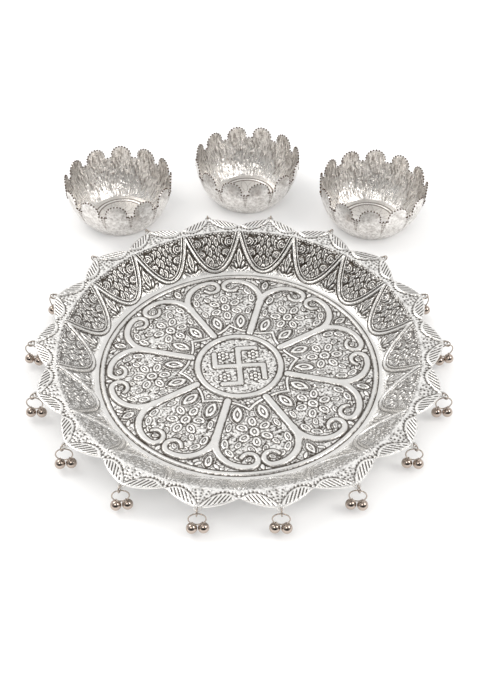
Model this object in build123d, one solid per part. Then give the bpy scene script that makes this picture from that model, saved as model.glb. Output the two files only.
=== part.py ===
from build123d import *
import os
from math import asin, cos, degrees, pi, radians, sin, sqrt

os.makedirs("parts", exist_ok=True)

# A puja thali: a scalloped tray stamped from one sheet, a pair of bells hung from each scallop,
# and three petal bowls that stand behind it. Millimetres. The origin is the tray's centre on the
# table, +Z is up and the front is towards -Y. Angles round the tray run from the front to +X.

# Every cut and blank runs this far past the solid that it shapes.
overrun = 6.0

# Tray sheet
lobe_count = 18
tip_radius = 152.5
lobe_depth = 10.5
lobe_bulge = 2.0
sheet = 1.0
rim_height = 26.0
rim_rise = 1.1
rim_width = 18.5
wall_run = 24.5
foot_bend = 7.0
lip_bend = 3.0

# Raised bands on the tray's floor, round the medallion and along the foot of the wall
band_rise = 0.8
medallion_radius = 31.8
medallion_width = 4.8
border_inset = 5.5
border_width = 3.4

# Raised ribs between the floor's petals, each forked into two arms that end in volutes
rib_count = 8
rib_turn = 32.0
rib_rise = 0.8
rib_gap = 0.9
rib_width = 4.8
arm_width = 4.0
arm_inset = 6.0
volute_bend = 6.0
volute_turn = 240.0
volute_gap = 0.4

# Raised festoons on the wall, one under each scallop
festoon_lift = 1.2
festoon_width = 3.4
festoon_rise = 0.8

# Ears with a hole at the scallops' tips, and the links through them; those at the sides are turned
ear_radius = 2.6
ear_offset = 0.8
hole_diameter = 3.0
link_wire = 0.9
link_radius = 2.4
link_clearance = 0.08
link_turn = 24.0

# Rings, turned a little further than their links
ring_wire = 0.9
ring_radius = 5.75
ring_turn = 72.0

# Bells
bell_diameter = 7.5
bell_wall = 0.5
bell_gap = 0.3
eye_spacing = 6.5
eye_wire = 0.5
eye_radius = 1.1
eye_sink = 0.3
eye_clearance = 0.1
slit_length = 4.4
slit_width = 1.0
slit_hole_diameter = 1.5
pellet_diameter = 2.4
pellet_clearance = 0.15

# Bowls
petal_count = 12
bowl_sheet = 1.0
bowl_height = 43.0
bowl_rim_radius = 45.6
bowl_base_radius = 29.0
petal_gap = 5.2
base_band_inset = 6.6
base_band_width = 1.8
base_band_rise = 0.5
bowl_left_gap = 18.2
bowl_middle_gap = 23.5
bowl_right_gap = 19.1
bowl_left_angle = -150.9
bowl_middle_angle = 178.1
bowl_right_angle = 147.6
bowl_left_turn = 3.3
bowl_middle_turn = 14.1
bowl_right_turn = 23.9

# Sizes that follow from the ones above
lobe_pitch = 360 / lobe_count
notch_radius = tip_radius - lobe_depth
wall_top_radius = tip_radius - rim_width
wall_foot_radius = wall_top_radius - wall_run
border_radius = wall_foot_radius - border_inset
rib_pitch = 360 / rib_count
rib_start_radius = medallion_radius + medallion_width / 2 + rib_gap + rib_width / 2
arm_reach = border_radius - arm_inset
festoon_foot_radius = wall_foot_radius + festoon_lift
rim_slope = rim_rise / rim_width
ear_height = rim_height + rim_slope * (ear_offset + ear_radius)
bridge = ear_radius - hole_diameter / 2
hang_radius = tip_radius + ear_offset + ear_radius - bridge / 2
link_hole = link_radius - link_wire / 2
link_height = ear_height + link_clearance - sqrt(link_hole**2 - (bridge / 2) ** 2)
pivot_height = link_height - link_hole + ring_wire / 2 + link_clearance
bell_radius = bell_diameter / 2
eye_angle = degrees(asin(eye_spacing / 2 / ring_radius))
eye_drop = eye_radius - (ring_wire / 2 + eye_wire / 2 + eye_clearance) / cos(radians(eye_angle))
bell_hang = eye_drop + eye_radius + eye_wire / 2 + bell_radius - eye_sink
bell_lean = degrees(asin((bell_diameter + bell_gap - eye_spacing) / 2 / bell_hang))
petal_width = 2 * bowl_rim_radius * sin(pi / petal_count) - petal_gap
base_band_radius = bowl_base_radius - base_band_inset


def tip_angle(index):
    return (index + 0.5) * lobe_pitch


def round_tray(angle, radius):
    """A place round the tray whose local -Y points outwards."""
    return Rot(0, 0, angle) * Pos(0, -radius, 0)


def sheet_section(path, thickness):
    """A sheet's half section: the path is its inner face, and the sheet lies to its right."""
    return Plane.XZ * make_face(offset(path, thickness, side=Side.RIGHT))


def band(radius, floor, width, rise):
    """A round raised band on a floor, rooted in the sheet below it."""
    inner, outer = radius - width / 2, radius + width / 2
    crown = SagittaArc((outer, floor), (inner, floor), -rise)
    root = Polyline((inner, floor), (inner, floor / 2), (outer, floor / 2), (outer, floor))
    return revolve(Plane.XZ * make_face([crown, root]), Axis.Z)


def tray_blank():
    path = FilletPolyline(
        (0, sheet),
        (wall_foot_radius, sheet),
        (wall_top_radius, rim_height - rim_rise),
        (tip_radius + overrun, rim_height + rim_slope * overrun),
        radius=[foot_bend, lip_bend],
    )
    return revolve(sheet_section(path, sheet), Axis.Z)


def scallop_outline():
    """Two bulging half leaves to a lobe, which meet at its tip and part at the notches."""
    half = lobe_pitch / 2
    left = Vector(0, -notch_radius).rotate(Axis.Z, -half)
    right = Vector(0, -notch_radius).rotate(Axis.Z, half)
    tip = Vector(0, -tip_radius)
    lobe = [SagittaArc(left, tip, -lobe_bulge), SagittaArc(tip, right, -lobe_bulge)]
    return make_face([Rot(0, 0, tip_angle(k)) * edge for k in range(lobe_count) for edge in lobe])


def volute_arm(side):
    """Half of a rib's fork: it bends out over half a petal and curls in beside the petal's middle line."""
    half = radians(rib_pitch / 2)
    clear = volute_bend + (arm_width + volute_gap) / 2
    arm_bend = (arm_reach * sin(half) - clear * cos(half)) / (1 + sin(half))
    fork = (arm_reach - arm_bend * (1 + sin(half))) / cos(half)
    sweep = JernArc((0, -fork), (0, -1), arm_bend, side * (rib_pitch / 2 + 90))
    curl = JernArc(sweep @ 1, sweep % 1, volute_bend, side * volute_turn)
    stem = SlotArc(Line((0, -rib_start_radius), (0, -fork)), rib_width)
    return stem + SlotArc(Wire([sweep, curl]), arm_width)


def petal_ribs():
    outline = Pos(0, 0, sheet / 2) * (volute_arm(-1) + volute_arm(1))
    rib = extrude(outline, sheet / 2 + rib_rise)
    return [Rot(0, 0, rib_turn + k * rib_pitch) * rib for k in range(rib_count)]


def wall_layer():
    """A layer on the wall's inner face as thick as the festoons stand proud, rooted in the sheet."""
    foot = Vector(wall_foot_radius, sheet)
    lip = Vector(wall_top_radius, rim_height - rim_rise)
    along = (lip - foot).normalized()
    inwards = Vector(-along.Y, along.X)
    top = lip - along * lip_bend
    face = [foot + inwards * festoon_rise, top + inwards * festoon_rise]
    root = [top - inwards * (sheet / 2), foot - inwards * (sheet / 2)]
    return revolve(Plane.XZ * make_face(Polyline(*face, *root, close=True)), Axis.Z)


def festoon_edge(offset):
    """A parabola that hangs from the wall's top at two notches, moved out by an offset."""
    half = radians(lobe_pitch / 2)
    end_x = wall_top_radius * sin(half) + offset
    end_y = wall_top_radius * cos(half)
    foot = festoon_foot_radius - offset
    return Bezier((-end_x, -end_y), (0, end_y - 2 * foot), (end_x, -end_y))


def festoons():
    outer, inner = festoon_edge(festoon_width / 2), festoon_edge(-festoon_width / 2)
    ends = [Line(outer @ 0, inner @ 0), Line(outer @ 1, inner @ 1)]
    prism = extrude(make_face([outer, inner] + ends), rim_height)
    festoon = wall_layer() & prism
    return [Rot(0, 0, tip_angle(k)) * festoon for k in range(lobe_count)]


def tray():
    ear_places = [round_tray(tip_angle(k), tip_radius + ear_offset) for k in range(lobe_count)]
    outline = scallop_outline() + [place * Circle(ear_radius) for place in ear_places]
    body = tray_blank() & extrude(outline, rim_height + overrun)
    body += band(medallion_radius, sheet, medallion_width, band_rise)
    body += band(border_radius, sheet, border_width, band_rise)
    body += petal_ribs()
    body += festoons()
    hole = Pos(0, 0, rim_height) * Cylinder(hole_diameter / 2, overrun)
    return body - [place * hole for place in ear_places]


def hanging_place(index, height, turn):
    """A place below an ear's edge, turned towards the front: by the full turn at the tray's sides."""
    angle = tip_angle(index)
    return round_tray(angle, hang_radius) * Rot(0, 0, -turn * sin(radians(angle))) * Pos(0, 0, height)


def rim_links():
    link = Rot(0, 90, 0) * Torus(link_radius, link_wire / 2)
    return Compound([hanging_place(k, link_height, link_turn) * link for k in range(lobe_count)])


def pendant_place(index):
    """Where a ring pivots in its link: local X lies along the ring's top."""
    return hanging_place(index, pivot_height, ring_turn)


def ring():
    return Pos(0, 0, -ring_radius) * Rot(90, 0, 0) * Torus(ring_radius, ring_wire / 2)


def bell_shell():
    """A hollow ball, centred on the origin, with a slit below and an eye on top."""
    hollow = bell_radius - bell_wall
    cut_depth = bell_radius + overrun
    below = (Align.CENTER, Align.CENTER, Align.MAX)
    slit = Pos(0, 0, -bell_wall) * Box(slit_length, slit_width, cut_depth, align=below)
    end = Pos(0, 0, -bell_wall) * Cylinder(slit_hole_diameter / 2, cut_depth, align=below)
    ends = [Pos(side * slit_length / 2, 0, 0) * end for side in (-1, 1)]
    eye_height = bell_radius - eye_sink + eye_wire / 2 + eye_radius
    eye = Pos(0, 0, eye_height) * Rot(0, 90, 0) * Torus(eye_radius, eye_wire / 2)
    return Sphere(bell_radius) + eye - Sphere(hollow) - slit - ends


def bell(side):
    """One bell of a pair below the pivot, with the loose pellet that lies in it."""
    eye_x = side * eye_spacing / 2
    eye_z = -ring_radius - ring_radius * cos(radians(eye_angle))
    place = Pos(eye_x, 0, eye_z) * Rot(0, -side * bell_lean, 0) * Pos(0, 0, -bell_hang)
    drop = bell_radius - bell_wall - pellet_clearance - pellet_diameter / 2
    pellet = Pos(0, 0, -drop) * Sphere(pellet_diameter / 2)
    return Compound([place * bell_shell(), place * pellet])


def bowl_blank():
    """A flat base, a round belly that ends upright half way down the petals, and a plain brim."""
    belly_height = bowl_height - petal_width / 4
    run, climb = bowl_rim_radius - bowl_base_radius, belly_height - bowl_sheet
    belly_radius = (run**2 + climb**2) / (2 * run)
    belly_centre = bowl_rim_radius - belly_radius
    foot = belly_centre + sqrt((belly_radius + bowl_sheet) ** 2 - belly_height**2)
    outer, top = bowl_rim_radius + bowl_sheet, bowl_height + overrun
    down = (0, -1)
    inside = TangentArc((bowl_rim_radius, belly_height), (bowl_base_radius, bowl_sheet), tangent=down)
    outside = TangentArc((outer, belly_height), (foot, 0), tangent=down)
    base = Polyline(inside @ 1, (0, bowl_sheet), (0, 0), outside @ 1)
    brim = Polyline(outside @ 0, (outer, top), (bowl_rim_radius, top), inside @ 0)
    return revolve(Plane.XZ * make_face([inside, base, outside, brim]), Axis.Z)


def bowl():
    """A sheet bowl whose brim is cut to half round petals with a gap between them."""
    reach = bowl_rim_radius + bowl_sheet + overrun
    outwards = (Align.CENTER, Align.CENTER, Align.MIN)
    notch_height = bowl_height - petal_width / 2
    petal = Pos(0, 0, notch_height) * Rot(90, 0, 0) * Cylinder(petal_width / 2, reach, align=outwards)
    keep = Cylinder(reach, notch_height, align=outwards)
    keep += [Rot(0, 0, k * 360 / petal_count) * petal for k in range(petal_count)]
    return (bowl_blank() & keep) + band(base_band_radius, bowl_sheet, base_band_width, base_band_rise)


def bowl_place(gap, angle, turn):
    reach = tip_radius + gap + bowl_rim_radius + bowl_sheet
    return round_tray(angle, reach) * Rot(0, 0, turn)


def write(node, shape):
    shape.label = node
    export_step(shape, f"parts/{node}.step")


write("tray", tray())
write("rim_links", rim_links())

plain_ring = ring()
bell_pair = {"left": bell(-1), "right": bell(1)}
for k in range(lobe_count):
    write(f"ring_{k + 1:02d}", pendant_place(k) * plain_ring)
    for side, plain_bell in bell_pair.items():
        write(f"bell_{k + 1:02d}_{side}", pendant_place(k) * plain_bell)

plain_bowl = bowl()
bowl_places = {
    "bowl_left": bowl_place(bowl_left_gap, bowl_left_angle, bowl_left_turn),
    "bowl_middle": bowl_place(bowl_middle_gap, bowl_middle_angle, bowl_middle_turn),
    "bowl_right": bowl_place(bowl_right_gap, bowl_right_angle, bowl_right_turn),
}
for node, place in bowl_places.items():
    write(node, place * plain_bowl)
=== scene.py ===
import math

import bpy
import numpy as np
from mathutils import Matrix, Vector


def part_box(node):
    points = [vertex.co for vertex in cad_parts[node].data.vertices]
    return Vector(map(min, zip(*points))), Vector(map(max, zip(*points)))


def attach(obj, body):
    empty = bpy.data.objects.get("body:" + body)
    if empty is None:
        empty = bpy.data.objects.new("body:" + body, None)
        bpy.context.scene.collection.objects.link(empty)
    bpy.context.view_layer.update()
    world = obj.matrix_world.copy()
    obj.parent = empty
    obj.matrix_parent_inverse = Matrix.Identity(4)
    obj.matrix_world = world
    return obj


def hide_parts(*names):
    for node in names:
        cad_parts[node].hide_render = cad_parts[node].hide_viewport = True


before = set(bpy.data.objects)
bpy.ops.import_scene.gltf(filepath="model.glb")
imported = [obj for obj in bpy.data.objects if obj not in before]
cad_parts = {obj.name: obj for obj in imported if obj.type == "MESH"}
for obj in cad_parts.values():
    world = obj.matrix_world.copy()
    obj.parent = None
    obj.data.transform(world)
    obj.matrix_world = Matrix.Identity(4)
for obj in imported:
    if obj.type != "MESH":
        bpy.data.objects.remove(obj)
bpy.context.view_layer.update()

# The looks of a silver puja thali: the stamped tray, its three petal bowls and its bells.
# Shapes are worked out in millimetres, in the part's own frame, and become metres in make_piece.
# Angles round the tray run from the front, -Y, towards +X.

MM = 0.001

# Tray sheet: the ears at the scallops' tips reach its box's side and top
EAR_RADIUS = 2.6
EAR_OFFSET = 0.8
HOLE_RADIUS = 1.5
RIM_WIDTH = 18.5
RIM_RISE = 1.1
TIP_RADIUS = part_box("tray")[1].x / MM - EAR_OFFSET - EAR_RADIUS
RIM_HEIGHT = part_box("tray")[1].z / MM - RIM_RISE / RIM_WIDTH * (EAR_OFFSET + EAR_RADIUS)
LOBES = 18
LOBE_HALF = math.pi / LOBES
NOTCH_DEPTH = 10.5
NOTCH_RADIUS = TIP_RADIUS - NOTCH_DEPTH
LOBE_BULGE = 2.0
SHEET = 1.0
WALL_TOP = TIP_RADIUS - RIM_WIDTH
WALL_RUN = 24.5
WALL_FOOT = WALL_TOP - WALL_RUN
FOOT_BLEND = 2.8
LIP_BLEND = 1.0

# Where the tray's sheet is divided into pieces, a little beside its bends
FOOT_CLEAR = 1.9
LIP_CLEAR = 1.6
FLOOR_EDGE = WALL_FOOT - FOOT_CLEAR
RIM_EDGE = WALL_TOP + LIP_CLEAR
MEDALLION_EDGE = 35.2

# Petals on the tray's floor
PETALS = 8
PETAL_HALF = math.pi / PETALS
PETAL_TURN = math.radians(9.5)
MEDALLION_RADIUS = 31.8
MEDALLION_WIDTH = 4.8
BORDER_INSET = 5.5
BORDER_RADIUS = WALL_FOOT - BORDER_INSET
BORDER_WIDTH = 3.4
RIB_START = 37.5
RIB_WIDTH = 5.5
ARM_WIDTH = 4.0
ARM_WIDTHS = (5.6, 4.6, 2.8)
ARM_INSET = 6.0
ARM_REACH = BORDER_RADIUS - ARM_INSET
VOLUTE_BEND = 6.0
VOLUTE_TURN = math.radians(240)
VOLUTE_GAP = 0.4
RIB_RISE = 0.8
RIB_FILLET = 2.0

# Festoons on the wall
FESTOON_LIFT = 1.2
FESTOON_FOOT = WALL_FOOT + FESTOON_LIFT

# Ink, the share of darkening: dark oxide on rubbed ridges, plain sheet, the cut edge, ears and the bowls'
# brims, painted shade on the bowls' beads for the gaps between them, and the most on the bowls' faces
RUBBED = 0.22
PLAIN_INK = 0.3
CUT_EDGE_INK = 0.15
EAR_INK = 0.4
BRIM_INK = 0.2
BEAD_PAINTED_SHADE = 1.0
BOWL_INK = 0.82

# Stamps that come often: how high they rise, the widths of their shoulder and dark line, and their ink
FINE_LINE = {"rise": 0.3, "edge": 0.4, "line": 0.7}
SMALL_LEAF = {"rise": 0.4, "edge": 0.5, "line": 0.8}
RIDGE = {"rise": 0.8, "edge": 0.9, "line": 1.0, "ink": RUBBED}

# Half the width of a fine line
HALF_LINE = 0.35

# The stippled ground of the floor and of its medallion
FLOOR_GROUND = {"cell": 0.9, "depth": 0.14, "ink": 0.75}

# Bowls: petals to a bowl, and each bowl's turn in degrees
BOWL_PETALS = 12
BOWL_PITCH = 2 * math.pi / BOWL_PETALS
BOWL_TURNS = {"bowl_left": -147.6, "bowl_middle": 192.2, "bowl_right": 171.5}

# Places on the baked texture, as shares of its side: lower corner and size of each square, the centres of the
# bowls' discs, and how far a bowl's side, brim and base reach on its disc
BAKE_TRAY_TOP = ((0, 0), 0.7)
BAKE_TRAY_UNDER = ((0.71, 0), 0.28)
BAKE_EARS = ((0.72, 0.35), 0.27)
BAKE_BEADS = ((0.0, 0.5), 0.5)
BAKE_INSIDE = (0.25, 0.25)
BAKE_OUTSIDE = (0.75, 0.25)
BAKE_SIDE = 0.24
BAKE_BRIM = (0.243, 0.248)
BAKE_BASE = 0.07

# The tray's square to its radius, and where a bowl's side starts, as a share of its reach
BAKE_MARGIN = 1.03
BAKE_HUB = 0.3


# Mesh building

def bridge(inner, outer):
    """Triangles between two closed rings of points that run the same way, whatever their counts."""
    n, m = len(inner), len(outer)
    turns = np.concatenate([(np.arange(n) + 0.5) / n, (np.arange(m) + 0.5) / m])
    on_inner = np.argsort(turns, kind="stable") < n
    i = np.cumsum(on_inner) - on_inner
    j = np.cumsum(~on_inner) - ~on_inner
    third = np.where(on_inner, inner[(i + 1) % n], outer[(j + 1) % m])
    return np.stack([inner[i % n], outer[j % m], third], 1)


def stack_rings(counts):
    """Each point's angle and ring number, and the triangles that join each ring to the next."""
    ends = np.concatenate([[0], np.cumsum(counts)])
    angles = np.concatenate([np.arange(n) * 2 * math.pi / n for n in counts])
    spans = zip(ends, ends[1:], ends[2:])
    faces = [bridge(np.arange(a, b), np.arange(b, c)) for a, b, c in spans]
    return angles, np.repeat(np.arange(len(counts)), counts), np.concatenate(faces)


def ring_count(radius, step):
    """How many points a ring of that radius has at about that spacing, the same in each sector."""
    sectors = 6
    return max(sectors, sectors * round(radius * 2 * math.pi / step / sectors))


class Surface:
    """Points with an ink share and a place on the baked texture, and the faces between them."""

    def __init__(self, points, ink, texture, triangles, caps=()):
        self.points, self.ink, self.texture = points, ink, texture
        self.triangles, self.caps = triangles, list(caps)

    def flipped(self):
        caps = [cap[::-1] for cap in self.caps]
        return Surface(self.points, self.ink, self.texture, self.triangles[:, ::-1], caps)


def make_piece(name, surfaces, material):
    """One mesh object of several surfaces, smooth within each of them."""
    starts = np.cumsum([0] + [len(s.points) for s in surfaces])
    points = np.concatenate([s.points for s in surfaces]) * MM
    triangles = np.concatenate([s.triangles + a for s, a in zip(surfaces, starts)])
    caps = [cap + a for s, a in zip(surfaces, starts) for cap in s.caps]
    loops = np.concatenate([triangles.ravel()] + caps).astype(np.int32)
    sizes = np.array([3] * len(triangles) + [len(cap) for cap in caps], np.int32)

    mesh = bpy.data.meshes.new(name)
    mesh.vertices.add(len(points))
    mesh.vertices.foreach_set("co", points.astype(np.float32).ravel())
    mesh.loops.add(len(loops))
    mesh.loops.foreach_set("vertex_index", loops)
    mesh.polygons.add(len(sizes))
    mesh.polygons.foreach_set("loop_start", np.cumsum(sizes, dtype=np.int32) - sizes)
    mesh.polygons.foreach_set("loop_total", sizes)
    mesh.polygons.foreach_set("use_smooth", np.ones(len(sizes), bool))
    mesh.update(calc_edges=True)
    ink = mesh.attributes.new("ink", "FLOAT", "POINT")
    ink.data.foreach_set("value", np.concatenate([s.ink for s in surfaces]).astype(np.float32))
    texture = np.concatenate([s.texture for s in surfaces])
    layer = mesh.uv_layers.new(name="OFBake")
    layer.data.foreach_set("uv", texture[loops].astype(np.float32).ravel())
    mesh.validate()
    mesh.materials.append(material)
    piece = bpy.data.objects.new(name, mesh)
    bpy.context.scene.collection.objects.link(piece)
    return piece


# Ornament drawing

def smooth(low, high, value):
    """A soft step from 0 at low to 1 at high, which may lie below low."""
    t = np.clip((value - low) / (high - low), 0, 1)
    return t * t * (3 - 2 * t)


def segment(x, y, start, end):
    """Distance to a straight stroke."""
    (x0, y0), (x1, y1) = start, end
    dx, dy = x1 - x0, y1 - y0
    t = np.clip(((x - x0) * dx + (y - y0) * dy) / (dx * dx + dy * dy), 0, 1)
    return np.hypot(x - x0 - t * dx, y - y0 - t * dy)


def arc(x, y, centre, radius, start, sweep, widths):
    """Signed distance to a band along an arc that turns anticlockwise, whose width changes along it."""
    dx, dy = x - centre[0], y - centre[1]
    turn = np.mod(np.arctan2(dy, dx) - start, 2 * math.pi)
    nearest_end = np.where(turn - sweep < 2 * math.pi - turn, sweep, 0)
    turn = np.where(turn <= sweep, turn, nearest_end)
    reach = np.hypot(dx - radius * np.cos(start + turn), dy - radius * np.sin(start + turn))
    return reach - (widths[0] + (widths[1] - widths[0]) * turn / sweep) / 2


def leaned(x, y, centre, tilt):
    """Coordinates across and along an axis through the centre that leans from +Y towards +X."""
    dx, dy = x - centre[0], y - centre[1]
    return dx * math.cos(tilt) - dy * math.sin(tilt), dx * math.sin(tilt) + dy * math.cos(tilt)


def oval(x, y, centre, along, across, tilt=0.0):
    """Signed distance to an ellipse, close enough near its edge."""
    u, v = leaned(x, y, centre, tilt)
    share = np.maximum(np.hypot(u / across, v / along), 1e-6)
    return (share - 1) * np.hypot(u, v) / share


def almond(x, y, centre, along, across, tilt=0.0):
    """Signed distance to a pointed leaf between two arcs."""
    u, v = leaned(x, y, centre, tilt)
    u, v = np.abs(u), np.abs(v)
    bend = (along**2 + across**2) / (2 * across)
    return np.where(v > along, np.hypot(u, v - along), np.hypot(u + bend - across, v) - bend)


def fold(x, y, count, start=0.0):
    """The point moved round the origin into the sector about +Y, out of count sectors."""
    pitch = 2 * math.pi / count
    angle = np.mod(np.arctan2(x, y) - start + pitch / 2, pitch) - pitch / 2
    reach = np.hypot(x, y)
    return reach * np.sin(angle), reach * np.cos(angle)


GRAIN_SIZE = 256
GRAIN = np.random.RandomState(seed=7).rand(GRAIN_SIZE, GRAIN_SIZE)


def grain(x, y, cell):
    """Smooth noise between 0 and 1 with a cell of that size."""
    i, j = np.floor(x / cell).astype(int), np.floor(y / cell).astype(int)
    u, v = x / cell - i, y / cell - j
    u, v = u * u * (3 - 2 * u), v * v * (3 - 2 * v)
    corner = [GRAIN[(i + a) % GRAIN_SIZE, (j + b) % GRAIN_SIZE] for a in (0, 1) for b in (0, 1)]
    low = corner[0] * (1 - v) + corner[1] * v
    high = corner[2] * (1 - v) + corner[3] * v
    return low * (1 - u) + high * u


class Relief:
    """A height and an ink share for each point of a surface; ink 1 is darkest, mostly oxide and in places
    painted shade.
    """

    # The dark line round a raised shape's foot
    groove_depth = 0.18
    groove_share = 0.7
    groove_core_share = 0.4

    # A seeded leaf's hollow and seed, with shares of the leaf's length and breadth, and of its rise
    hollow_shares = (0.62, 0.52)
    hollow_levels = (0.25, -0.35)
    hollow_depth_share = 0.6
    hollow_ink = 0.95
    seed_shares = (0.36, 0.24)
    seed_rise_share = 0.8
    seed_edge = 0.4
    seed_line = 0.3

    # The pits of a stippled ground: where the noise makes one, and how its cell differs from the stipple's
    pit_levels = (0.62, 0.74)
    pit_cell_share = 1.3
    pit_shift = 50

    def __init__(self, size, ink=0.0):
        self.height = np.zeros(size)
        self.ink = np.full(size, float(ink))

    def stamp(self, distance, rise, edge=0.6, line=0.8, ink=0.0):
        """A raised shape where distance is below 0, with a round shoulder and a dark line round its foot."""
        inside = smooth(0, -edge, distance)
        core = line * self.groove_core_share
        groove = smooth(line * self.groove_share, core, np.abs(distance - core)) * (1 - inside)
        raised = np.maximum(self.height * (1 - inside), rise * inside)
        self.height = np.where(distance < 0, raised, self.height) - self.groove_depth * groove
        self.ink = np.maximum(self.ink * (1 - inside) + ink * inside, groove)

    def cut(self, distance, width, depth=0.22, ink=0.9):
        """An engraved line along distance 0."""
        groove = smooth(width / 2, width / 8, np.abs(distance))
        self.height = self.height - depth * groove
        self.ink = np.maximum(self.ink, ink * groove)

    def seeded(self, shape, x, y, centre, along, across, tilt=0.0, rise=0.55):
        """A raised oval or leaf that is hollowed, with a seed in the hollow."""
        def shrunk(shares):
            return shape(x, y, centre, along * shares[0], across * shares[1], tilt)

        self.stamp(shape(x, y, centre, along, across, tilt), rise)
        hollow = smooth(*self.hollow_levels, shrunk(self.hollow_shares))
        self.height = self.height - self.hollow_depth_share * rise * hollow
        self.ink = np.maximum(self.ink, self.hollow_ink * hollow)
        self.stamp(shrunk(self.seed_shares), self.seed_rise_share * rise, self.seed_edge, self.seed_line)

    def pounce(self, x, y, cell, depth, ink, pit_ink=0.9):
        """A stippled ground with dark pits."""
        noise = 2 * grain(x, y, cell) - 1
        pits = smooth(*self.pit_levels, grain(x + self.pit_shift, y, self.pit_cell_share * cell))
        self.height = self.height + depth * (noise - pits)
        self.ink = np.clip(self.ink - ink * noise + pit_ink * pits, 0, 1)

    def take(self, other, where):
        self.height = np.where(where, other.height, self.height)
        self.ink = np.where(where, other.ink, self.ink)


# Tray

def arm_sizes():
    """The arms' bend and the radius where they leave the rib, as in the part."""
    clear = VOLUTE_BEND + (ARM_WIDTH + VOLUTE_GAP) / 2
    bend = (ARM_REACH * math.sin(PETAL_HALF) - clear * math.cos(PETAL_HALF)) / (1 + math.sin(PETAL_HALF))
    return bend, (ARM_REACH - bend * (1 + math.sin(PETAL_HALF))) / math.cos(PETAL_HALF)


def petal_fill(relief, s, v, p, q):
    """The flower, leaves and seeds of one petal: s and v across and along it, p and q about its rib."""
    bend, fork = arm_sizes()
    # Centre, half length, half breadth and lean of each seed, and those that follow the arm by their turn
    seeds = (((17.6, 60.5), 4.0, 2.0, 0.4), ((5.0, 83.0), 3.4, 1.9, -0.5), ((13.6, 77.5), 3.2, 2.0, 0.7))
    arm_seeds = ((0.3, 4.6, 2.6), (0.9, 4.4, 2.4), (1.45, 3.4, 2.0))
    arm_seed_inset = 7.0
    for centre, along, across, tilt in seeds:
        relief.seeded(oval, s, v, centre, along, across, tilt, rise=0.4)
    inset = bend - arm_seed_inset
    for turn, along, across in arm_seeds:
        centre = (-bend + inset * math.cos(turn), fork + inset * math.sin(turn))
        relief.seeded(oval, p, q, centre, along, across, -turn, rise=0.5)

    leaf, lean = (9.4, 48.8), 0.2
    relief.stamp(np.abs(almond(s, v, leaf, along=9.6, across=5.6, tilt=lean)) - HALF_LINE, **FINE_LINE)
    relief.seeded(almond, s, v, leaf, along=7.4, across=3.6, tilt=lean)
    ogee_reach, ogee_foot, ogee_rise, ogee_power, ogee_half = 14.0, 36.4, 9.0, 1.7, 1.0
    share = np.clip(1 - s / ogee_reach, 0, 1)
    ogee = ogee_foot + ogee_rise * share**ogee_power
    slope = ogee_rise * ogee_power / ogee_reach * share ** (ogee_power - 1)
    relief.stamp(np.abs(v - ogee) / np.sqrt(1 + slope**2) - ogee_half, rise=0.5, edge=0.5)
    bead_place, bead_radius = 38.8, 1.3
    relief.stamp(np.hypot(s, v - bead_place) - bead_radius, rise=0.4, edge=0.5, line=0.7)

    flower, flower_petals, flower_reach = 66.8, 6, 9.6
    u, w = fold(s, flower - v, flower_petals)
    relief.seeded(oval, u, w, (0, flower_reach), along=4.4, across=3.1)
    relief.seeded(oval, s, v, (0, flower), along=4.2, across=3.7)


def petal_ribs(relief, p, q):
    """A rib, its arm and the volute at the arm's end, with a seed in the volute."""
    bend, fork = arm_sizes()
    turn = math.pi / 2 + PETAL_HALF
    inset = bend - VOLUTE_BEND
    hub = (-bend + inset * math.cos(turn), fork + inset * math.sin(turn))
    seed_shift = (0.6, -0.8)
    seed = (hub[0] + seed_shift[0], hub[1] + seed_shift[1])
    relief.seeded(oval, p, q, seed, along=2.6, across=1.6, tilt=0.6, rise=0.4)
    stem = segment(p, q, (0, RIB_START), (0, fork)) - RIB_WIDTH / 2
    sweep = arc(p, q, (-bend, fork), bend, 0, turn, ARM_WIDTHS[:2])
    curl = arc(p, q, hub, VOLUTE_BEND, turn, VOLUTE_TURN, ARM_WIDTHS[1:])
    rib = -smooth_max(-stem, -np.minimum(sweep, curl), RIB_FILLET)
    relief.stamp(rib, RIB_RISE, edge=0.7, line=1.0, ink=RUBBED)


def floor_relief(reach, angle):
    """Eight petals between forked ribs, inside a border and round a medallion."""
    x, y = reach * np.sin(angle), -reach * np.cos(angle)
    relief = Relief(x.shape, ink=0.22)
    relief.pounce(x, y, **FLOOR_GROUND)
    u, v = fold(x, -y, PETALS, PETAL_TURN)
    s = np.abs(u)
    p = s * math.cos(PETAL_HALF) - v * math.sin(PETAL_HALF)
    q = s * math.sin(PETAL_HALF) + v * math.cos(PETAL_HALF)
    petal_fill(relief, s, v, p, q)
    petal_ribs(relief, p, q)

    outer_leaf, its_frame, side_leaf, end_leaf = (0, 95.0), (0, 94.6), (6.6, 98.6), (0, 99.0)
    relief.stamp(np.abs(almond(p, q, its_frame, along=7.6, across=4.4)) - HALF_LINE, **FINE_LINE)
    relief.seeded(almond, p, q, outer_leaf, along=5.2, across=2.6)
    relief.stamp(almond(np.abs(p), q, side_leaf, along=3.2, across=1.3, tilt=0.9), **SMALL_LEAF)
    relief.stamp(almond(s, v, end_leaf, along=2.6, across=1.5), **SMALL_LEAF)

    relief.stamp(np.abs(reach - BORDER_RADIUS) - BORDER_WIDTH / 2, **RIDGE)
    plain_start, plain_end = 2.4, 2.8
    plain = smooth(plain_start, plain_end, reach - BORDER_RADIUS)
    relief.height *= 1 - plain
    relief.ink = relief.ink * (1 - plain) + RUBBED * plain
    relief.stamp(np.abs(reach - MEDALLION_RADIUS) - MEDALLION_WIDTH / 2, **RIDGE)
    groove = 0.4
    inner = MEDALLION_RADIUS - MEDALLION_WIDTH / 2 - groove
    relief.take(medallion_relief(x, y), reach < inner)
    return relief


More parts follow.
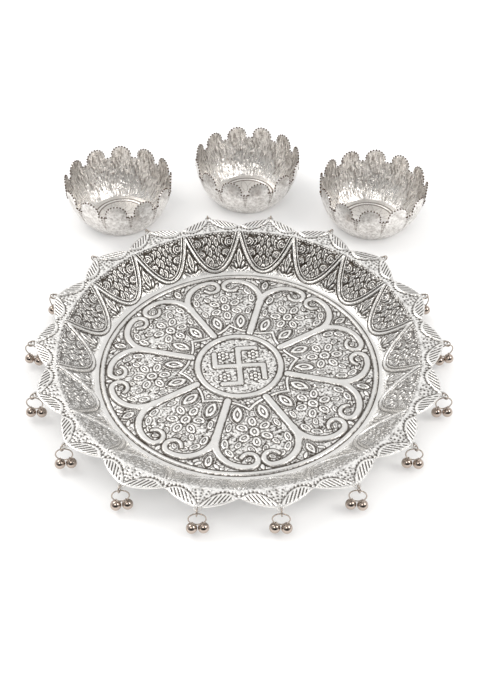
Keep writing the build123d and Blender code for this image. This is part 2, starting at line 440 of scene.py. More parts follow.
def medallion_relief(x, y):
    """The traditional sign of good fortune, with a rosette in each quarter."""
    relief = Relief(x.shape, ink=0.18)
    relief.pounce(x, y, **FLOOR_GROUND)
    turn, reach, end, half_bar = math.radians(4.0), 18.4, 13.5, 2.2
    a = x * math.cos(turn) + y * math.sin(turn)
    b = y * math.cos(turn) - x * math.sin(turn)
    bars = np.full(x.shape, np.inf)
    for _ in range(4):
        stem = segment(a, b, (0, 0), (0, reach))
        hook = segment(a, b, (0, reach), (end, reach))
        bars = np.minimum(bars, np.minimum(stem, hook))
        a, b = -b, a
    relief.stamp(bars - half_bar, rise=0.6, edge=0.7, line=0.9, ink=RUBBED)
    rosette, rosette_petals, petal_reach, petal_radius = 11.6, 6, 3.2, 1.5
    u, v = fold(np.abs(a) - rosette, np.abs(b) - rosette, rosette_petals)
    relief.stamp(np.hypot(u, v - petal_reach) - petal_radius, rise=0.45, line=0.9)
    relief.stamp(np.hypot(u, v) - petal_radius, rise=0.5, line=0.9)
    rim, groove_inset = MEDALLION_RADIUS - MEDALLION_WIDTH / 2, 0.6
    relief.cut(np.hypot(x, y) - rim + groove_inset, width=1.3)
    return relief


def spiral(x, y, centre, radius, pitch, start):
    """Distance to a curl of that outer radius, which runs in to its centre."""
    dx, dy = x - centre[0], y - centre[1]
    reach = np.hypot(dx, dy)
    turn = np.mod(np.arctan2(dy, dx) - start, 2 * math.pi) / (2 * math.pi)
    coil = np.clip(np.round((radius - reach) / pitch - turn), 0, radius / pitch - 1)
    return np.abs(reach - np.maximum(radius - pitch * (coil + turn), 0))


def festoon_fill(relief, x, w):
    """Flame leaves about the festoon's middle and curls beside them: x across it, w down the slope."""
    # For each row of leaves the first leaf's place down the slope and the half length
    rows = ((4.6, 4.2), (7.2, 4.4), (5.0, 4.0), (7.6, 3.6))
    row_pitch, leaf_pitch, leaf_count, half_breadth, lean = 3.0, 8.6, 3, 1.75, 0.035
    lowest, drape = 29, 0.075
    for row, (first, along) in enumerate(rows):
        for column in range(leaf_count):
            centre = (row_pitch * row, first + leaf_pitch * column)
            if centre[1] < lowest - drape * centre[0] ** 2:
                relief.seeded(almond, x, w, centre, along, half_breadth, lean * centre[0])

    # Centre, radius and starting angle of each curl
    curls = (((14.0, 7.4), 3.6, 2.0), ((10.6, 16.6), 3.0, 2.6), ((18.0, 3.6), 1.9, 1.0))
    curl_margin, curl_pitch, curl_half = 0.8, 1.9, 0.55
    for centre, radius, start in curls:
        ground = np.hypot(x - centre[0], w - centre[1]) - radius - curl_margin
        relief.stamp(ground, rise=0.2, edge=0.5, line=0.7, ink=0.9)
        curl = spiral(x, w, centre, radius, curl_pitch, start) - curl_half
        relief.stamp(curl, rise=0.6, edge=0.4, line=0.5)
    bead_pitch, bead_place, bead_radius = 2.4, 1.0, 0.8
    bead = np.hypot(np.mod(x, bead_pitch) - bead_pitch / 2, w - bead_place) - bead_radius
    relief.stamp(bead, rise=0.4, edge=0.5, line=0.6)


def plume(along, across, w):
    """The leaves between two festoons: along the lobe, across from the notch's line, w down the slope."""
    relief = Relief(w.shape, ink=0.4)
    relief.pounce(along, w, cell=1.0, depth=0.1, ink=0.6)
    leaf, side_leaves = (0, 21.5), ((-0.35, (2.9, 27.5)), (-0.8, (4.4, 31.0)))
    relief.seeded(almond, across, w, leaf, along=8.6, across=2.3)
    for lean, centre in side_leaves:
        relief.stamp(almond(across, w, centre, along=3.6, across=1.1, tilt=lean), rise=0.45)
    end_place, end_radius = 32.2, 1.2
    relief.stamp(np.hypot(across, w - end_place) - end_radius, **SMALL_LEAF)
    plain_start, plain_end = 30.4, 32.4
    relief.ink = np.maximum(relief.ink * smooth(plain_end, plain_start, w), RUBBED)
    return relief


def wall_relief(radius, angle):
    """Festoons that hang from the notches, with a plume between them: x across a lobe, w down the slope."""
    relief = Relief(radius.shape, ink=0.42)
    stretch = math.hypot(1, (RIM_HEIGHT - RIM_RISE - SHEET) / (WALL_TOP - WALL_FOOT))
    x = radius * np.abs(angle)
    w = (WALL_TOP - radius) * stretch
    foot = (WALL_TOP - FESTOON_FOOT) * stretch
    hang = foot / (WALL_TOP * LOBE_HALF) ** 2
    d = (w - foot + hang * x**2) / np.sqrt(1 + (2 * hang * x) ** 2)
    relief.pounce(radius * angle, w, cell=1.1, depth=0.1, ink=0.5)
    shift, cell, sway, drop_share = 60, 5.0, 1.2, 1.6
    uneven = sway * (grain(radius * angle + shift, w, cell) - 0.5)
    festoon_fill(relief, np.abs(radius * angle + uneven), w + drop_share * uneven)
    relief.take(plume(radius * angle, radius * LOBE_HALF - x, w), d > 0)

    inner_line, inner_half, festoon_half, groove_shift = 2.8, 0.6, 1.3, 0.3
    relief.stamp(np.abs(d + inner_line) - inner_half, rise=0.5, edge=0.4)
    relief.stamp(np.abs(d) - festoon_half, rise=0.85, edge=0.7, line=1.0, ink=0.12)
    relief.cut(d + groove_shift, width=0.9, depth=0.25, ink=0.6)
    return relief


def outline_radius(angle):
    """The scallops' outline: two bulging half leaves to a lobe."""
    tip = np.array([0.0, TIP_RADIUS])
    notch = NOTCH_RADIUS * np.array([math.sin(LOBE_HALF), math.cos(LOBE_HALF)])
    chord = notch - tip
    length = np.hypot(*chord)
    bend = (length**2 / 4 + LOBE_BULGE**2) / (2 * LOBE_BULGE)
    outward = np.array([-chord[1], chord[0]]) / length
    centre = (tip + notch) / 2 - outward * (bend - LOBE_BULGE)
    along = centre[0] * np.sin(np.abs(angle)) + centre[1] * np.cos(angle)
    return along + np.sqrt(along**2 - centre @ centre + bend**2)


def rim_relief(radius, angle):
    """Two leaves to a lobe that meet at its tip, with dashes on them and a fan of dots between them."""
    relief = Relief(radius.shape)
    x = radius * np.abs(angle)
    relief.pounce(radius * angle, radius, cell=0.8, depth=0.05, ink=0.3, pit_ink=0.6)
    half = NOTCH_RADIUS * LOBE_HALF
    # Distances in from the outline and to the leaf's inner edge, below 0 on the leaf; both lines lie aslant
    edge_aslant, leaf_aslant = 0.9, 0.85
    edge = (outline_radius(angle) - radius) * edge_aslant
    share = np.clip(x / half, 0, 1)
    tip_gap, leaf_fall, leaf_bow = 1.5, 8.0, 33.0
    inner = TIP_RADIUS - tip_gap - leaf_fall * share - leaf_bow * share * (1 - share)
    leaf = (inner - radius) * leaf_aslant

    # Turn, start and end of each row of dots from the tip, and of the strokes from the notch
    fan = ((0.0, 5.0, 16.5), (0.3, 6.5, 15.0), (0.6, 9.0, 14.5))
    notch_strokes = ((0.0, 2.0, 5.0), (0.6, 2.0, 5.0))
    dot, stroke, depth = 2.7, 1.2, 0.3
    along_fan = np.mod(np.hypot(x, TIP_RADIUS - radius), dot) - dot / 2
    for turn, *reaches in fan:
        ends = [(reach * math.sin(turn), TIP_RADIUS - reach * math.cos(turn)) for reach in reaches]
        relief.cut(np.hypot(segment(x, radius, *ends), along_fan), dot, depth, ink=1.0)
    for turn, *reaches in notch_strokes:
        ends = [(reach * math.sin(turn), NOTCH_RADIUS - reach * math.cos(turn)) for reach in reaches]
        relief.cut(segment(half - x, radius, *ends), stroke, depth, ink=1.0)

    overrun, dot_shift = 0.4, 0.6
    relief.stamp(np.maximum(leaf, -edge - overrun), rise=0.6, edge=1.6, line=0.4)
    relief.cut(np.hypot(leaf - dot_shift, np.mod(x, dot) - dot / 2), dot, depth, ink=1.0)
    lean, pitch, dash_depth, break_cell = math.radians(64), 2.2, 0.35, 1.3
    vein = np.cos((x * math.sin(lean) + radius * math.cos(lean)) * 2 * math.pi / pitch)
    dash_levels, break_levels, leaf_inset, edge_inset = (0.2, -0.4), (0.1, 0.3), (-1.4, -2.0), (0.5, 1.0)
    dash = smooth(*dash_levels, vein) * smooth(*leaf_inset, leaf) * smooth(*edge_inset, edge)
    dash *= smooth(*break_levels, grain(radius * angle, radius, break_cell))
    relief.height = relief.height - dash_depth * dash
    relief.ink = np.maximum(relief.ink, dash)
    return relief


def tray_relief(radius, angle):
    """The ornament at each place on the tray, flat where the zones meet, with painted light on the wall:
    paler in front and darker at the back.
    """
    relief = Relief(radius.shape)
    lobe = np.mod(angle, 2 * LOBE_HALF) - LOBE_HALF
    floor, rim = radius <= FLOOR_EDGE, radius >= RIM_EDGE
    for zone, drawing, across in (
        (floor, floor_relief, angle), (~floor & ~rim, wall_relief, lobe), (rim, rim_relief, lobe)
    ):
        if zone.any():
            drawn = drawing(radius[zone], across[zone])
            relief.height[zone], relief.ink[zone] = drawn.height, drawn.ink

    foot_fade, lip_fade = 4, 2
    wall = smooth(FLOOR_EDGE, FLOOR_EDGE + foot_fade, radius)
    wall *= smooth(RIM_EDGE, RIM_EDGE - lip_fade, radius)
    # Painted light on the wall: its ink drops towards the front, which reads pale, while the back keeps
    # deeper dark recesses
    painted_front_light = (1 + np.cos(angle)) / 2
    wall_painted_light, front_painted_light = 0.16, 0.3
    relief.ink -= wall * (wall_painted_light + front_painted_light * painted_front_light) * (1 - relief.ink)
    tray_ink, back_painted_shade, front_painted_light_ink, front_light_power = 0.96, 0.12, 0.64, 1.5
    relief.ink = np.maximum(relief.ink, 0) * (tray_ink + wall * (back_painted_shade - front_painted_light_ink * painted_front_light**front_light_power))
    for seam, start, end in ((FLOOR_EDGE, 0.2, 2.2), (RIM_EDGE, 0.1, 1.2)):
        relief.height *= smooth(start, end, np.abs(radius - seam))
    return relief


def smooth_max(a, b, blend):
    """The larger of two, with a rounded bend where they cross."""
    return np.maximum(a, b) + np.maximum(blend - np.abs(a - b), 0) ** 2 / (4 * blend)


def tray_height(radius):
    """The sheet's upper face: flat floor, sloping wall and nearly flat rim, with rounded bends."""
    wall = SHEET + (radius - WALL_FOOT) * (RIM_HEIGHT - RIM_RISE - SHEET) / (WALL_TOP - WALL_FOOT)
    rim = RIM_HEIGHT - RIM_RISE + (radius - WALL_TOP) * RIM_RISE / (TIP_RADIUS - WALL_TOP)
    return smooth_max(-smooth_max(-wall, -rim, LIP_BLEND), np.full_like(radius, SHEET), FOOT_BLEND)


def on_tray(radius, angle, lift):
    """Points on the tray's upper face, lifted square to it."""
    step = 0.05
    slope = (tray_height(radius + step) - tray_height(radius - step)) / (2 * step)
    tilt = np.hypot(1, slope)
    reach = radius - lift * slope / tilt
    height = tray_height(radius) + lift / tilt
    return np.stack([reach * np.sin(angle), -reach * np.cos(angle), height], 1)


def flat_texture(points, corner, size):
    """Places on the baked texture, seen from above, in a square with that lower corner and size."""
    return np.asarray(corner) + size * (0.5 + points[:, :2] / (2 * BAKE_MARGIN * TIP_RADIUS))


def tray_band(name, inner, outer, spacing, material):
    """A closed band of the tray's sheet between two radii; outer None means the scalloped edge."""
    row_share, under_share = 0.8, 4

    def face(step, reliefs):
        far = outer or TIP_RADIUS
        steps = max(2, round((far - inner) / (step * row_share)))
        shares = np.linspace(0, 1, steps + 1)
        angle, ring, triangles = stack_rings([ring_count(inner + t * (far - inner), step) for t in shares])
        lobe = np.mod(angle, 2 * LOBE_HALF) - LOBE_HALF
        end = np.full(len(angle), outer) if outer else outline_radius(lobe)
        radius = inner + shares[ring] * (end - inner)
        relief = tray_relief(radius, angle) if reliefs else Relief(radius.shape, PLAIN_INK)
        points = on_tray(radius, angle, relief.height if reliefs else relief.height - SHEET)
        first, last = np.flatnonzero(ring == 0), np.flatnonzero(ring == steps)
        return points, relief.ink, triangles, first, last

    points, ink, triangles, first, last = face(spacing, True)
    caps = [first] if inner < spacing else []
    top = Surface(points, ink, flat_texture(points, *BAKE_TRAY_TOP), triangles, caps)
    low_points, low_ink, low_triangles, low_first, low_last = face(under_share * spacing, False)
    low_caps = [low_first] if inner < spacing else []
    low_texture = flat_texture(low_points, *BAKE_TRAY_UNDER)
    under = Surface(low_points, low_ink, low_texture, low_triangles, low_caps)
    surfaces = [top, under.flipped(), edge_strip(points[last], low_points[low_last], 1)]
    if inner >= spacing:
        surfaces.append(edge_strip(points[first], low_points[low_first], -1))
    if not outer:
        surfaces.append(tray_ears())
    return make_piece(name, surfaces, material)


def turned(profile, count, closed):
    """The points, triangles and end caps of a profile of radii and heights turned about +Z."""
    profile = np.array(profile)
    angle, ring, triangles = stack_rings([count] * len(profile))
    reach, height = profile[ring].T
    points = np.stack([reach * np.sin(angle), -reach * np.cos(angle), height], 1)
    first, last = np.arange(count), np.arange(count) + len(points) - count
    if closed:
        return points, np.concatenate([triangles, bridge(last, first)]), []
    return points, triangles, [first, last[::-1]]


def repeated(shape, places, ink, corner, size):
    """A small turned shape set at many places, each with a cell of its own on the baked texture."""
    points, triangles, caps = shape
    cell_share = 2.2
    n, span = len(points), cell_share * np.abs(points).max()
    side = math.ceil(math.sqrt(len(places)))
    cells = np.stack(np.divmod(np.arange(len(places)), side), 1)
    texture = (cells[:, None] + 0.5 + points[None, :, :2] / span) / side
    starts = n * np.arange(len(places))
    return Surface(
        (places[:, None] + points[None]).reshape(-1, 3),
        np.full(n * len(places), ink),
        np.asarray(corner) + size * texture.reshape(-1, 2),
        (starts[:, None, None] + triangles[None]).reshape(-1, 3),
        [start + cap for start in starts for cap in caps],
    )


def tray_ears():
    """A small ear with a hole at each scallop's tip, for the link."""
    bevel, lift, count = 0.2, 0.1, 32
    profile = [
        (HOLE_RADIUS, -bevel), (HOLE_RADIUS + bevel, 0), (EAR_RADIUS - bevel, 0), (EAR_RADIUS, -bevel),
        (EAR_RADIUS, bevel - SHEET), (EAR_RADIUS - bevel, -SHEET), (HOLE_RADIUS, -SHEET),
    ]
    angle = (np.arange(LOBES) * 2 + 1) * LOBE_HALF
    places = on_tray(np.full(LOBES, TIP_RADIUS + EAR_OFFSET), angle, np.full(LOBES, lift))
    return repeated(turned(profile, count, True), places, EAR_INK, *BAKE_EARS)


def edge_strip(upper, lower, side):
    """The sheet's cut edge between its faces, laid beside the upper face on the texture."""
    points = np.concatenate([upper, lower])
    n = len(upper)
    triangles = bridge(np.arange(n), n + np.arange(len(lower)))
    strip_share = 0.006
    beside = 1 + side * strip_share
    spread = np.concatenate([upper, lower * [beside, beside, 1]])
    ink = np.full(len(points), CUT_EDGE_INK)
    strip = Surface(points, ink, flat_texture(spread, *BAKE_TRAY_TOP), triangles)
    return strip if side > 0 else strip.flipped()


def make_tray(material):
    """The tray's sheet in bands, each with its own spacing of points."""
    hub = 0.3
    middle = (MEDALLION_EDGE + FLOOR_EDGE) / 2
    half_wall = (FLOOR_EDGE + RIM_EDGE) / 2
    # Name, inner and outer radius, and spacing
    bands = (
        ("tray_medallion", hub, MEDALLION_EDGE, 0.45),
        ("tray_floor_inner", MEDALLION_EDGE, middle, 0.46),
        ("tray_floor_outer", middle, FLOOR_EDGE, 0.54),
        ("tray_wall_lower", FLOOR_EDGE, half_wall, 0.5),
        ("tray_wall_upper", half_wall, RIM_EDGE, 0.5),
        ("tray_rim", RIM_EDGE, None, 0.48),
    )
    for name, inner, outer, spacing in bands:
        piece = tray_band(name, inner, outer, spacing, material)
        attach(piece, "tray")
        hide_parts("tray")


# Bowls

class Bowl:
    """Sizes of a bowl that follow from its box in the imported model."""

    # The sheet, the base's radius, the notch between petals, the petals' upright sides, the height from
    # where the rows of points bend up to follow the brim, and the points over a petal and a notch
    sheet = 1.0
    base = 29.0
    petal_gap = 6.4
    straight = 2.6
    low = 24.0
    bow_points = 41
    gap_points = 9

    def __init__(self, node_name):
        low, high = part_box(node_name)
        self.centre = np.array([low.x + high.x, low.y + high.y, 2 * low.z]) / (2 * MM)
        self.rim = (high.x - low.x) / (2 * MM) - self.sheet
        self.height = (high.z - low.z) / MM
        self.petal = self.rim * math.sin(math.pi / BOWL_PETALS) - self.petal_gap / 2
        self.belly = self.height - self.petal / 2
        run, climb = self.rim - self.base, self.belly - self.sheet
        self.bend = (run**2 + climb**2) / (2 * run)
        self.turn = math.radians(BOWL_TURNS[node_name])

    def radius(self, height, offset):
        """The wall's radius: a round belly that ends upright, and a plain brim."""
        drop = np.maximum(self.belly - height, 0)
        return self.rim - self.bend + np.sqrt((self.bend + offset) ** 2 - drop**2)

    def brim(self, across):
        """The brim's height over a petal, at a distance across it."""
        bow = np.sqrt(np.maximum(self.petal**2 - across**2, 0))
        rise = np.where(np.abs(across) < self.petal, self.straight, 0)
        return self.height - self.petal - self.straight + rise + bow

    def columns(self):
        """Angles round the bowl, close together where the petals' sides are steep."""
        bow = self.petal * np.sin(np.linspace(-math.pi / 2, math.pi / 2, self.bow_points))
        half = self.rim * math.sin(math.pi / BOWL_PETALS)
        gap = np.linspace(self.petal, 2 * half - self.petal, self.gap_points)[1:-1]
        turn = np.concatenate([np.arcsin(bow / self.rim), BOWL_PITCH * gap / (2 * half)])
        return (np.arange(BOWL_PETALS)[:, None] * 2 * math.pi / BOWL_PETALS + turn).ravel()

    def placed(self, angle, reach, height):
        spot = np.stack([reach * np.sin(angle + self.turn), -reach * np.cos(angle + self.turn), height], 1)
        return self.centre + spot


def petal_across(angle):
    """The angle from the middle of the nearest petal."""
    return np.mod(angle + BOWL_PITCH / 2, BOWL_PITCH) - BOWL_PITCH / 2


def disc_texture(centre, spread, angle):
    """Places on the baked texture round a centre."""
    return centre + np.stack([spread * np.sin(angle), spread * np.cos(angle)], 1)


def inner_petals(bowl, angle, height):
    """Fine uneven strokes, beaten into the bowl's inside, with painted shade that darkens its upper part."""
    relief = Relief(angle.shape)
    x = bowl.rim * angle
    upper_shares = (0.15, 0.7)
    upper = smooth(*upper_shares, height / bowl.height)
    sway, sway_cell, stroke_cell, stroke_draw, speck_cell = 2.2, 5.0, 0.9, 0.26, 0.8
    wander = sway * grain(x, height, sway_cell)
    stroke = 2 * grain(x + wander, height * stroke_draw, stroke_cell) - 1
    speck = 2 * grain(x, height, speck_cell) - 1
    stroke_share, speck_share, depth = 0.85, 0.4, 0.36
    texture = stroke_share * stroke + speck_share * speck
    relief.height = depth * texture
    # Painted shade: more ink up the wall, so the lower bowl reads as the brighter, lit part
    least_ink, upper_painted_shade, texture_ink = 0.08, 0.12, 0.8
    relief.ink = np.clip(least_ink + upper_painted_shade * upper - texture_ink * texture, 0, 1)
    return relief


def outer_petals(bowl, angle, height):
    """A mottled face with a dotted crease below each notch of the brim, inked dark as painted shade under the
    overlapping petals' edges.
    """
    relief = Relief(angle.shape)
    x = bowl.rim * petal_across(angle)
    edge = bowl.rim * math.pi / BOWL_PETALS - np.abs(x)
    fine_cell, wide_cell, fine_share, wide_share = 0.95, 2.4, 0.6, 0.4
    along = bowl.rim * angle
    mottle = fine_share * grain(along, height, fine_cell) + wide_share * grain(along, height, wide_cell)
    mottle_depth, mean_ink, mottle_ink = 0.12, 0.26, 0.5
    relief.height = mottle_depth * (2 * mottle - 1)
    relief.ink = np.clip(mean_ink - mottle_ink * (2 * mottle - 1), 0, 1)

    # The crease is a shallow groove whose dark line and dots are painted shade for the shadow under the
    # petals' overlapping edges
    dot_pitch, crease_shift, crease_depth, crease_shade_ink, crease_dot_shade_ink = 2.3, 1.2, 0.35, 0.4, 0.75
    dot_levels, crease_widths = (-0.3, 0.4), (0.95, 0.3)
    shift_heights, crease_heights = (14, 30), (11.0, 16.0)
    dots = smooth(*dot_levels, np.cos(2 * math.pi * height / dot_pitch))
    crease = np.abs(edge - crease_shift * smooth(*shift_heights, height))
    line = smooth(*crease_widths, crease) * smooth(*crease_heights, height)
    relief.height -= crease_depth * line
    relief.ink = np.maximum(relief.ink, line * (crease_shade_ink + crease_dot_shade_ink * dots))
    return relief


def bowl_side(bowl, inside, rows):
    """One face of the bowl's wall, from its base up to the brim, with the rows fanned to the petals."""
    columns = bowl.columns()
    angle = np.tile(columns, rows + 1)
    share = np.repeat(np.linspace(0, 1, rows + 1), len(columns))
    brim = bowl.brim(bowl.rim * np.sin(petal_across(angle)))
    start = bowl.sheet if inside else 0.0
    flat = start + share * (bowl.height - start)
    bowed = bowl.low + (flat - bowl.low) * (brim - bowl.low) / (bowl.height - bowl.low)
    height = np.where(flat > bowl.low, bowed, flat)
    drawing, offset, side = (inner_petals, 0.0, -1) if inside else (outer_petals, bowl.sheet, 1)
    relief = drawing(bowl, angle, height)
    brim_fade, foot_fade = 1.5, 2.0
    relief.height *= smooth(0, brim_fade, brim - height) * smooth(0, foot_fade, height - start)
    reach = bowl.radius(height, offset)
    tilt = np.arctan2(bowl.belly - np.minimum(height, bowl.belly), bowl.bend)
    points = bowl.placed(angle, reach + side * relief.height, height - side * relief.height * np.sin(tilt))
    rings = np.arange(len(angle)).reshape(rows + 1, len(columns))
    triangles = np.concatenate([bridge(a, b) for a, b in zip(rings, rings[1:])])
    spread = (BAKE_HUB + (1 - BAKE_HUB) * share) * BAKE_SIDE
    texture = disc_texture(BAKE_INSIDE if inside else BAKE_OUTSIDE, spread, angle)
    surface = Surface(points, BOWL_INK * relief.ink, texture, triangles)
    return (surface if inside else surface.flipped()), points[rings[-1]]


def bowl_base(bowl, inside):
    """The flat base: inside, a raised ring round a faint flower."""
    steps, hub = 44 if inside else 6, 0.4
    edge = bowl.radius(bowl.sheet, 0.0) if inside else bowl.radius(0.0, bowl.sheet)
    radii = np.linspace(hub, edge, steps + 1)
    angle, ring, triangles = stack_rings([ring_count(r, radii[1] - radii[0]) for r in radii])
    reach = radii[ring]
    relief = Relief(reach.shape, ink=0.05)
    if inside:
        u, v = fold(reach * np.sin(angle), reach * np.cos(angle), BOWL_PETALS)
        relief.cut(almond(u, v, (0, 12.0), along=8.5, across=2.6), width=0.8, depth=0.12, ink=0.5)
        ring_radius, ring_half, edge_fade = 22.4, 1.1, 2
        relief.stamp(np.abs(reach - ring_radius) - ring_half, rise=0.55, edge=0.8, line=1.3)
        relief.height *= smooth(edge, edge - edge_fade, reach)
    points = bowl.placed(angle, reach, (bowl.sheet if inside else 0.0) + relief.height)
    texture = disc_texture(BAKE_INSIDE if inside else BAKE_OUTSIDE, reach / edge * BAKE_BASE, angle)
    surface = Surface(points, BOWL_INK * relief.ink, texture, triangles, [np.flatnonzero(ring == 0)])
    return surface if inside else surface.flipped()


def brim_beads(bowl):
    """A row of small beads along the brim, inked darkest as painted shade for the gaps between them."""
    samples, pitch, radius, count_round = 12001, 2.7, 0.75, 10
    fine = np.linspace(0, 2 * math.pi, samples)
    brim = bowl.brim(bowl.rim * np.sin(petal_across(fine)))
    middle = bowl.rim + bowl.sheet / 2
    along = np.concatenate([[0], np.cumsum(np.hypot(np.diff(brim), middle * np.diff(fine)))])
    count = round(along[-1] / pitch)
    angle = np.interp(np.arange(count) * along[-1] / count, along, fine)
    height = bowl.brim(bowl.rim * np.sin(petal_across(angle)))
    places = bowl.placed(angle, np.full(count, middle), height)
    latitudes = np.radians([72, 40, 0, -40, -72])
    bead = [(radius * math.cos(t), radius * math.sin(t)) for t in latitudes]
    # The beads take the darkest ink: painted shade for the gaps between beads
    return repeated(turned(bead, count_round, False), places, BEAD_PAINTED_SHADE, *BAKE_BEADS)


def make_bowl(node_name, material):
    """Both faces of the wall and the base, the brim's edge and its beads, as one piece."""
    bowl = Bowl(node_name)
    inside, inside_brim = bowl_side(bowl, True, rows=92)
    outside, outside_brim = bowl_side(bowl, False, rows=48)
    n = len(inside_brim)
    texture = disc_texture(BAKE_INSIDE, np.repeat(BAKE_BRIM, n), np.tile(bowl.columns(), 2))
    brim = Surface(
        np.concatenate([inside_brim, outside_brim]), np.full(2 * n, BRIM_INK), texture,
        bridge(np.arange(n), n + np.arange(n)),
    )
    surfaces = [inside, outside, brim, bowl_base(bowl, True), bowl_base(bowl, False), brim_beads(bowl)]
    piece = make_piece(f"{node_name}_silver", surfaces, material)
    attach(piece, node_name)
    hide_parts(node_name)


# Materials

def node(tree, kind, **values):
    """A new node whose inputs, or else settings, have the given values."""
    made = tree.nodes.new(kind)
    for key, value in values.items():
        if key in made.inputs:
            made.inputs[key].default_value = value
        else:
            setattr(made, key, value)
    return made


def metal(name, bright, dark, smoothest, roughest, punches):
    """Polished metal darkened by its ink, which is oxide left in its recesses and in places painted shade,
    with slight stains and a punched ground.
    """
    material = bpy.data.materials.new(name)
    material.use_nodes = True
    tree = material.node_tree
    shader = tree.nodes["Principled BSDF"]
    shader.inputs["Metallic"].default_value = 1.0
    link = tree.links.new
    place = node(tree, "ShaderNodeTexCoord")
    ink = node(tree, "ShaderNodeAttribute", attribute_name="ink")
    stain = node(tree, "ShaderNodeTexNoise", Scale=90.0, Detail=5.0, Roughness=0.6)
    link(place.outputs["Object"], stain.inputs["Vector"])
    stain_gain, stain_offset = 0.35, -0.17
    stained = node(tree, "ShaderNodeMath", operation="MULTIPLY_ADD")
    stained.inputs[1].default_value = stain_gain
    stained.inputs[2].default_value = stain_offset
    link(stain.outputs["Fac"], stained.inputs[0])
    depth = node(tree, "ShaderNodeMath", operation="ADD", use_clamp=True)
    link(ink.outputs["Fac"], depth.inputs[0])
    link(stained.outputs[0], depth.inputs[1])
    colour = node(tree, "ShaderNodeMix", data_type="RGBA")
    colour.inputs[6].default_value = (*bright, 1)
    colour.inputs[7].default_value = (*dark, 1)
    link(depth.outputs[0], colour.inputs[0])
    link(colour.outputs[2], shader.inputs["Base Color"])
    rough = node(tree, "ShaderNodeMapRange")
    rough.inputs["To Min"].default_value = smoothest
    rough.inputs["To Max"].default_value = roughest
    link(depth.outputs[0], rough.inputs["Value"])
    link(rough.outputs["Result"], shader.inputs["Roughness"])
    punch = node(tree, "ShaderNodeTexVoronoi", Scale=punches)
    link(place.outputs["Object"], punch.inputs["Vector"])
    punch_gain, punch_least = 0.5, 0.06
    strength = node(tree, "ShaderNodeMath", operation="MULTIPLY_ADD")
    strength.inputs[1].default_value = punch_gain
    strength.inputs[2].default_value = punch_least
    link(ink.outputs["Fac"], strength.inputs[0])
    bump = node(tree, "ShaderNodeBump", Distance=0.0004)
    link(strength.outputs[0], bump.inputs["Strength"])
    link(punch.outputs["Distance"], bump.inputs["Height"])
    link(bump.outputs["Normal"], shader.inputs["Normal"])
    return material


tray_silver = metal(
    "tray_silver", bright=(0.96, 0.945, 0.92), dark=(0.065, 0.054, 0.044),
    smoothest=0.24, roughest=0.42, punches=850.0,
)
bowl_silver = metal(
    "bowl_silver", bright=(0.94, 0.92, 0.895), dark=(0.1, 0.06, 0.035),
    smoothest=0.27, roughest=0.5, punches=700.0,
)
nickel = metal(
    "nickel", bright=(0.52, 0.44, 0.385), dark=(0.2, 0.155, 0.125),
    smoothest=0.03, roughest=0.1, punches=400.0,
)
wire = metal(
    "wire", bright=(0.46, 0.4, 0.35), dark=(0.2, 0.16, 0.13),
    smoothest=0.08, roughest=0.2, punches=400.0,
)

make_tray(tray_silver)
for node_name in BOWL_TURNS:
    make_bowl(node_name, bowl_silver)

for name, cad_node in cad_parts.items():
    if name.startswith(("ring_", "bell_", "rim_links")):
        cad_node.data.materials.clear()
        cad_node.data.materials.append(nickel if name.startswith("bell_") else wire)


# Stage, light and camera

def make_stage():
    """A wide white floor that keeps the object's shadow."""
    reach, white, glow = 3, 0.81, 0.13
    mesh = bpy.data.meshes.new("floor")
    corners = [(-reach, -reach, 0), (reach, -reach, 0), (reach, reach, 0), (-reach, reach, 0)]
    mesh.from_pydata(corners, [], [(0, 1, 2, 3)])
    floor = bpy.data.objects.new("floor", mesh)
    bpy.context.scene.collection.objects.link(floor)
    material = bpy.data.materials.new("floor_white")
    material.use_nodes = True
    tree = material.node_tree
    shader = tree.nodes["Principled BSDF"]
    shader.inputs["Base Color"].default_value = (white, white, white, 1)
    shader.inputs["Roughness"].default_value = 0.9
    shader.inputs["Emission Color"].default_value = (1, 1, 1, 1)
    rays = node(tree, "ShaderNodeLightPath")
    seen = node(tree, "ShaderNodeMath", operation="MAXIMUM")
    tree.links.new(rays.outputs["Is Camera Ray"], seen.inputs[0])
    tree.links.new(rays.outputs["Is Glossy Ray"], seen.inputs[1])
    lift = node(tree, "ShaderNodeMath", operation="MULTIPLY")
    lift.inputs[1].default_value = glow
    tree.links.new(seen.outputs[0], lift.inputs[0])
    tree.links.new(lift.outputs[0], shader.inputs["Emission Strength"])
    mesh.materials.append(material)


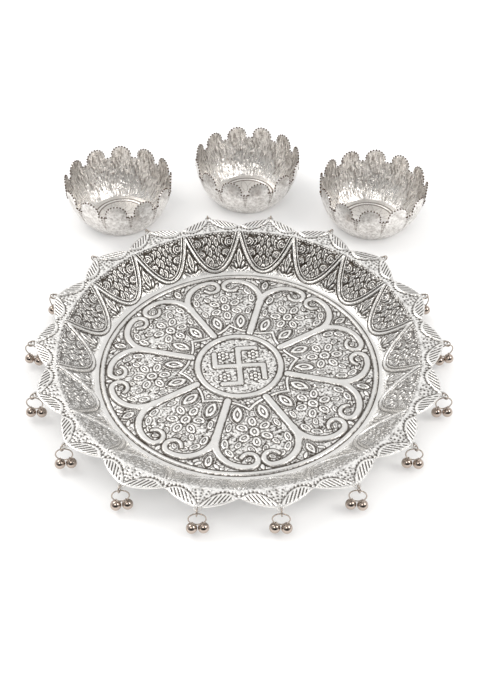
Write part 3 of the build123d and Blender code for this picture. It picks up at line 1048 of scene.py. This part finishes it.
def make_world():
    """White all round, but metal mirrors a room that darkens from the back wall to the front one."""
    world = bpy.data.worlds.new("studio")
    bpy.context.scene.world = world
    world.use_nodes = True
    tree = world.node_tree
    background = tree.nodes["Background"]
    link = tree.links.new
    place = node(tree, "ShaderNodeTexCoord")
    split = node(tree, "ShaderNodeSeparateXYZ")
    link(place.outputs["Generated"], split.inputs[0])
    level = node(tree, "ShaderNodeMapRange")
    level.inputs["From Min"].default_value = -0.9
    level.inputs["From Max"].default_value = 0.5
    level.inputs["To Min"].default_value = 0.04
    level.inputs["To Max"].default_value = 1.0
    link(split.outputs["Y"], level.inputs["Value"])
    rays = node(tree, "ShaderNodeLightPath")
    shown = node(tree, "ShaderNodeMix")
    shown.inputs["A"].default_value = 1.0
    link(rays.outputs["Is Glossy Ray"], shown.inputs["Factor"])
    link(level.outputs["Result"], shown.inputs["B"])
    link(shown.outputs["Result"], background.inputs["Strength"])
    background.inputs["Color"].default_value = (1, 1, 1, 1)


def make_lamp(name, place, target, size, power):
    """A round, slightly warm area lamp that faces its target; metres and watts."""
    data = bpy.data.lights.new(name, "AREA")
    data.shape, data.size, data.energy = "DISK", size, power
    data.color = (1, 0.97, 0.93)
    lamp = bpy.data.objects.new(name, data)
    bpy.context.scene.collection.objects.link(lamp)
    lamp.location = place
    lamp.rotation_mode = "QUATERNION"
    lamp.rotation_quaternion = (Vector(target) - Vector(place)).to_track_quat("-Z", "Y")


def make_camera():
    """Elevation and distance are about a point at rim height over the tray's centre."""
    elevation, distance = math.radians(44.434), 0.73217
    data = bpy.data.cameras.new("camera")
    data.lens, data.sensor_width = 51.89, 36.0
    data.shift_x, data.shift_y = -0.001, 0.0026
    data.clip_start, data.clip_end = 0.01, 20.0
    camera = bpy.data.objects.new("camera", data)
    bpy.context.scene.collection.objects.link(camera)
    height = RIM_HEIGHT * MM + distance * math.sin(elevation)
    camera.location = (0, -distance * math.cos(elevation), height)
    camera.rotation_euler = (math.pi / 2 - elevation, 0, 0)
    bpy.context.scene.camera = camera


make_stage()
make_world()
make_lamp("key", place=(-0.7, 0.35, 1.2), target=(0, 0, 0), size=0.8, power=4.8)
make_lamp("fill", place=(0.9, -0.3, 0.9), target=(0, 0, 0), size=0.6, power=4.0)
make_lamp("front", place=(-0.2, -0.65, 1.0), target=(0, 0.1, 0), size=0.5, power=1.9)
make_camera()

bpy.context.scene.view_settings.view_transform = "Standard"
